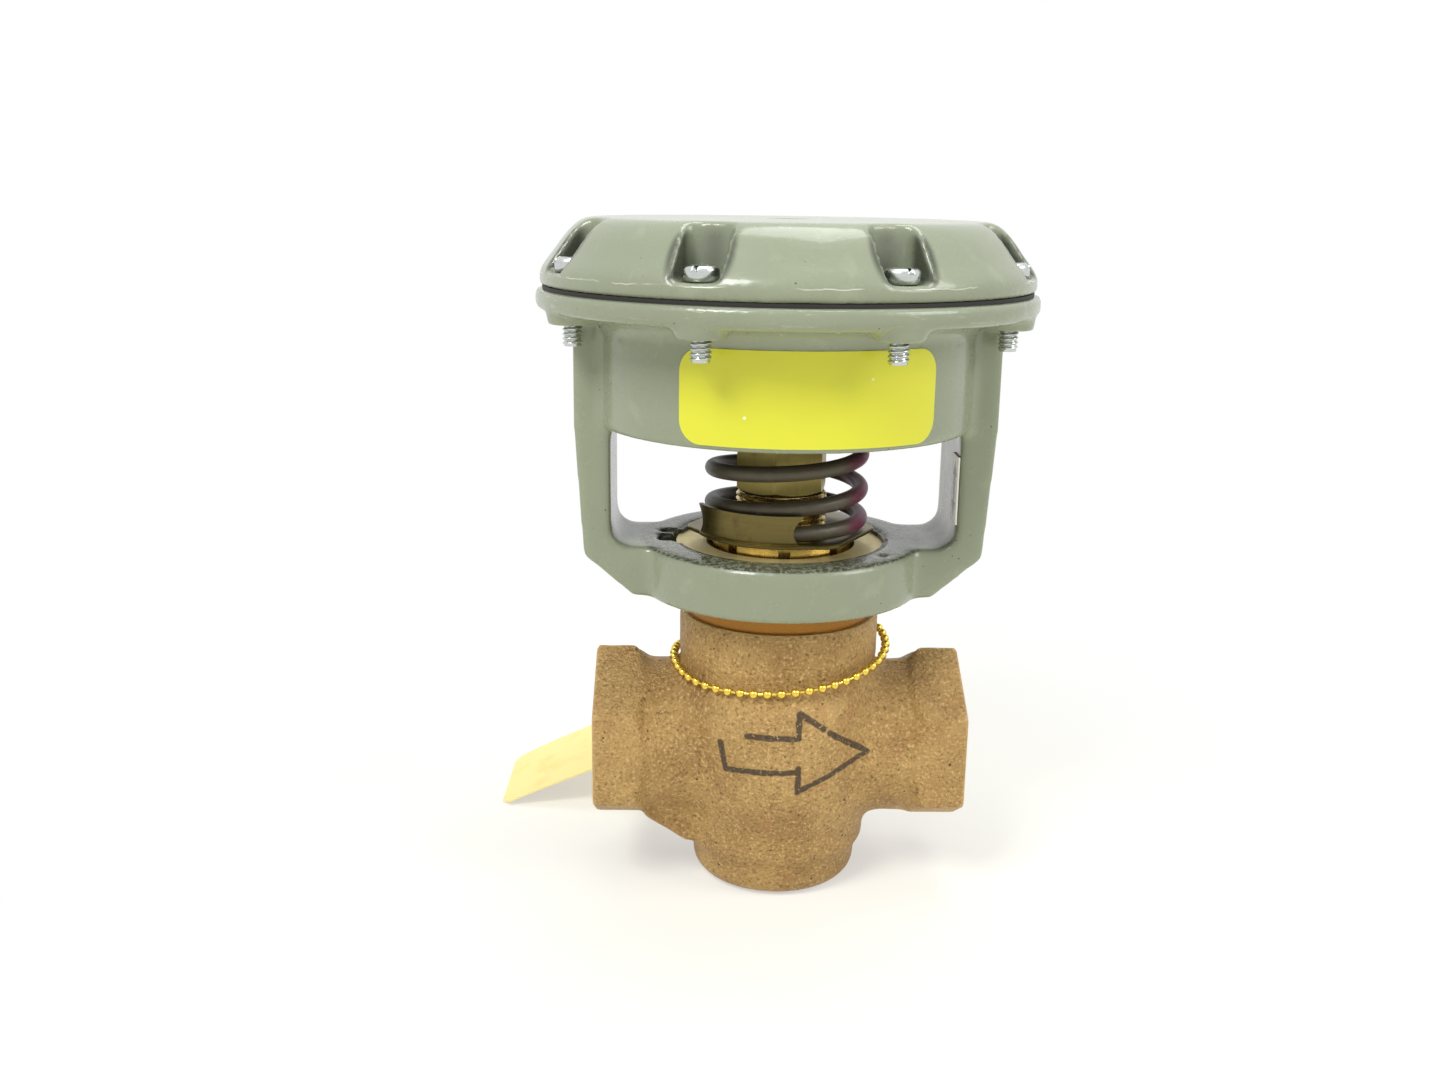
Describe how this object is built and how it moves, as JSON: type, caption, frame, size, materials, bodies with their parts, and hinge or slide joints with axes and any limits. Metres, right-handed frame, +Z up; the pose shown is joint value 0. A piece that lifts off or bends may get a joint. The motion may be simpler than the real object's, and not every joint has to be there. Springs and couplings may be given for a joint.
{
  "type": "pneumatic globe valve",
  "caption": "Two-way bronze globe valve with hexagonal threaded pipe ends and a spring-return diaphragm actuator on a cast yoke, with a paper tag on a bead chain.",
  "frame": {"origin": "centre of the flat foot under the body, on the stem axis", "axes": "+X the flow direction, from the inlet to the outlet; +Z up the stem axis; +Y away from the side with the label"},
  "size_m": [0.1411, 0.1309, 0.1725],
  "materials": {
    "cast_bronze": "sand cast, matt",
    "painted_casting": "gloss grey-green paint on a casting",
    "machined_brass": "turned",
    "bright_brass": "bright",
    "pressed_brass": "olive, lightly tarnished sheet",
    "spring_steel": "oil-blackened wire",
    "stainless": "ground",
    "zinc_plate": "bright zinc",
    "black_rubber": "matt",
    "cast_aluminium": "die cast",
    "yellow_label": "vinyl sticker",
    "white_plate": "printed plate",
    "tag_paper": "stiff manila paper"
  },
  "bodies": {
    "root": {"valve_body": "cast_bronze", "seat_ring": "machined_brass", "bonnet": "machined_brass", "bonnet_gasket": "black_rubber", "packing_spring": "stainless", "packing_washer": "machined_brass", "packing_rings": "black_rubber", "packing_nut": "machined_brass", "yoke_housing": "painted_casting", "yoke_lock_nut": "machined_brass", "snap_ring": "spring_steel", "yoke_screw": "zinc_plate", "spring_adjuster": "machined_brass", "spring_seat": "pressed_brass", "main_spring": "spring_steel", "diaphragm": "black_rubber", "top_cover": "painted_casting", "cover_screws": "zinc_plate", "blank_label": "yellow_label", "travel_scale": "white_plate", "tag_chain": "bright_brass", "chain_clasp": "bright_brass"},
    "stem_assembly": {"stem": "stainless", "valve_plug": "machined_brass", "seat_disc": "black_rubber", "disc_washer": "stainless", "disc_nut": "stainless", "piston": "cast_aluminium", "clamp_washer": "stainless", "piston_nut": "stainless", "stem_lock_nut": "stainless"},
    "tag": {"hang_tag": "tag_paper", "tag_eyelet": "bright_brass"}
  },
  "joints": [
    {"name": "stem_travel", "type": "slide", "parent": "root", "child": "stem_assembly", "axis": [0, 0, -1], "range_m": [0, 0.008], "stiffness_N_per_m": 400, "springref_m": -0.01, "deforming": ["main_spring", "diaphragm"]},
    {"name": "tag_swing", "type": "hinge", "parent": "root", "child": "tag", "pos_m": [-0.01972, 0.0515, 0.02299], "axis": [0, 1, 0], "range_deg": [0, 45]}
  ]
}
